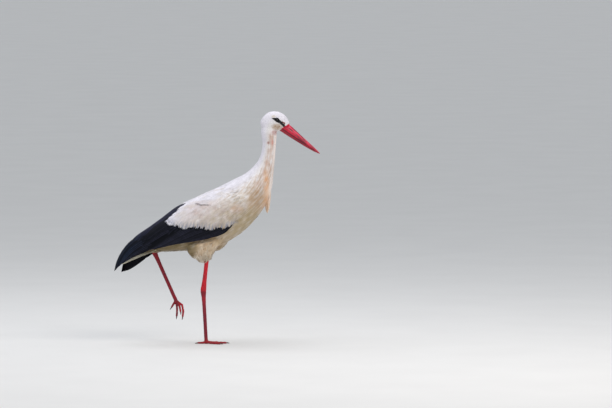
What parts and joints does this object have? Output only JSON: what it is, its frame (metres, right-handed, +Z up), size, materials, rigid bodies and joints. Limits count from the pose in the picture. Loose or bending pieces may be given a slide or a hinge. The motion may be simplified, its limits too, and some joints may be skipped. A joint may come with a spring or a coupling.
{
  "type": "white stork",
  "caption": "Still life-size white stork in mid stride, standing on its right foot with the left leg swinging, wings folded.",
  "frame": {"origin": "middle of the standing right foot's sole, where it meets the ground", "axes": "+X forward, the way the bird walks and its bill points; +Y to the bird's left; +Z up. -Z is the standing sole's outward normal, +Z is the longest extent and +Y the shortest"},
  "size_m": [0.8085, 0.218, 0.91],
  "materials": {
    "white_feathers": "soft matte white feathers, warmer on the breast",
    "dusky_feathers": "matte, soiled brownish-white down",
    "black_feathers": "black with a faint blue and violet sheen",
    "scaly_skin": "scaly red skin, slightly glossy",
    "claw_horn": "dark horn",
    "bill_horn": "satin red horn, paler at the tip",
    "eye": "wet, glossy, very dark"
  },
  "bodies": {
    "root": {"head": "white_feathers", "neck_upper": "white_feathers", "neck_middle": "white_feathers", "neck_lower": "white_feathers", "trunk": "white_feathers", "tail": "white_feathers", "wing_right_coverts": "white_feathers", "wing_left_coverts": "white_feathers", "breast_plume": "dusky_feathers", "thigh_right": "dusky_feathers", "thigh_left": "dusky_feathers", "wing_right_secondaries": "black_feathers", "wing_right_tertials": "black_feathers", "wing_right_primaries": "black_feathers", "shank_right": "scaly_skin", "tarsus_right": "scaly_skin", "toe_right_hallux": "scaly_skin", "toe_right_inner": "scaly_skin", "toe_right_middle": "scaly_skin", "toe_right_outer": "scaly_skin", "claw_right_hallux": "claw_horn", "claw_right_inner": "claw_horn", "claw_right_middle": "claw_horn", "claw_right_outer": "claw_horn", "wing_left_secondaries": "black_feathers", "wing_left_tertials": "black_feathers", "wing_left_primaries": "black_feathers", "shank_left": "scaly_skin", "tarsus_left": "scaly_skin", "toe_left_hallux": "scaly_skin", "toe_left_inner": "scaly_skin", "toe_left_middle": "scaly_skin", "toe_left_outer": "scaly_skin", "claw_left_hallux": "claw_horn", "claw_left_inner": "claw_horn", "claw_left_middle": "claw_horn", "claw_left_outer": "claw_horn", "bill_upper": "bill_horn", "bill_lower": "bill_horn", "eye_right": "eye", "eye_left": "eye"}
  },
  "joints": []
}
